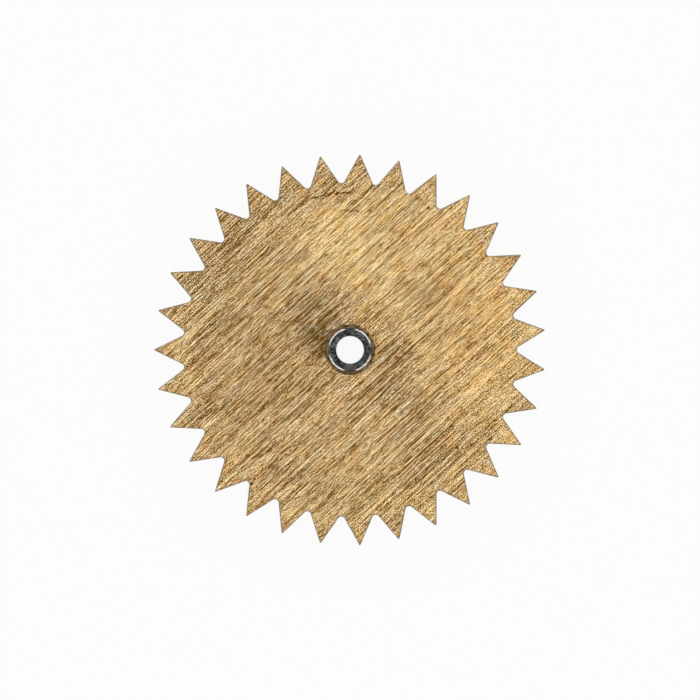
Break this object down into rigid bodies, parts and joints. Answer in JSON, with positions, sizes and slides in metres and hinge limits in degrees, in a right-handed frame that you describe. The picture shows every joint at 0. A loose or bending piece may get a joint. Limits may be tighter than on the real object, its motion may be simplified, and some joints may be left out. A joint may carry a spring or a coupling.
{
  "type": "date star wheel",
  "caption": "Flat brass star wheel for a watch's date display, with a ring of pointed teeth and a small steel hub riveted into its centre around a plain bore.",
  "frame": {"origin": "centre of the bore in the hub's lower face, on which the wheel lies", "axes": "+Z along the bore axis, from the hub's collar up to the riveted face; one tooth points to -X"},
  "size_m": [0.0092, 0.0092, 0.0006],
  "materials": {
    "brass": "satin, straight-grained and lightly tarnished",
    "steel": "turned, dull on the flat and polished on the bevel"
  },
  "bodies": {
    "root": {"star_wheel": "brass", "hub": "steel"}
  },
  "joints": []
}
